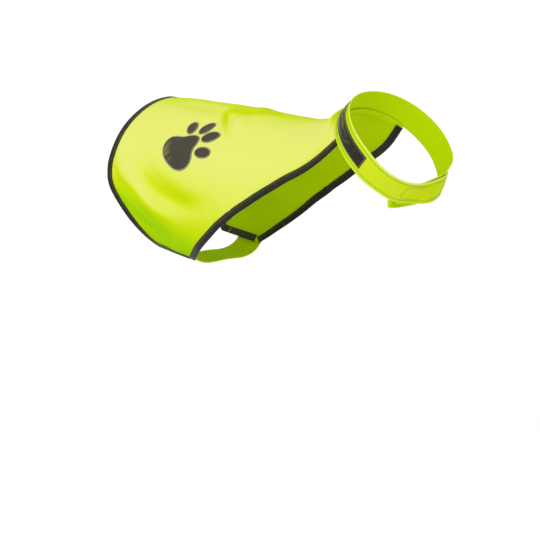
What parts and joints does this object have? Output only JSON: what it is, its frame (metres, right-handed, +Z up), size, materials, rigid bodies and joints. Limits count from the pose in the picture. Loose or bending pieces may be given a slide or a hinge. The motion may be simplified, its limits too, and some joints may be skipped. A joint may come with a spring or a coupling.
{
  "type": "dog safety vest",
  "caption": "High-visibility dog vest in its worn shape: bound cloth saddle with paw motifs, lapped collar strap and belly strap.",
  "frame": {"origin": "on the saddle's inner face, on the spine at the middle of the back, where the wearer's back holds the vest up", "axes": "+X along the back towards the neck, +Y towards the wearer's left flank, +Z up out of the wearer's back"},
  "size_m": [0.5135, 0.2037, 0.2752],
  "materials": {
    "vest_cloth": "fluorescent yellow-green knit, matt",
    "strap_cloth": "fluorescent yellow-green woven strap, matt",
    "reflective_tape": "dark grey reflective tape, satin",
    "hook_tape": "hook tape, matt",
    "loop_tape": "loop tape, matt"
  },
  "bodies": {
    "root": {"saddle": "vest_cloth", "rear_binding": "reflective_tape", "front_binding_right": "reflective_tape", "front_binding_left": "reflective_tape", "collar_strap": "strap_cloth", "collar_tape": "reflective_tape", "collar_hook_patch": "hook_tape", "collar_loop_patch": "loop_tape", "belly_strap": "strap_cloth", "belly_hook_patch": "hook_tape", "belly_loop_patch": "loop_tape", "paw_pad_right": "reflective_tape", "paw_toe_upper_outer_right": "reflective_tape", "paw_toe_upper_inner_right": "reflective_tape", "paw_toe_lower_inner_right": "reflective_tape", "paw_toe_lower_outer_right": "reflective_tape", "paw_pad_left": "reflective_tape", "paw_toe_upper_outer_left": "reflective_tape", "paw_toe_upper_inner_left": "reflective_tape", "paw_toe_lower_inner_left": "reflective_tape", "paw_toe_lower_outer_left": "reflective_tape"}
  },
  "joints": []
}
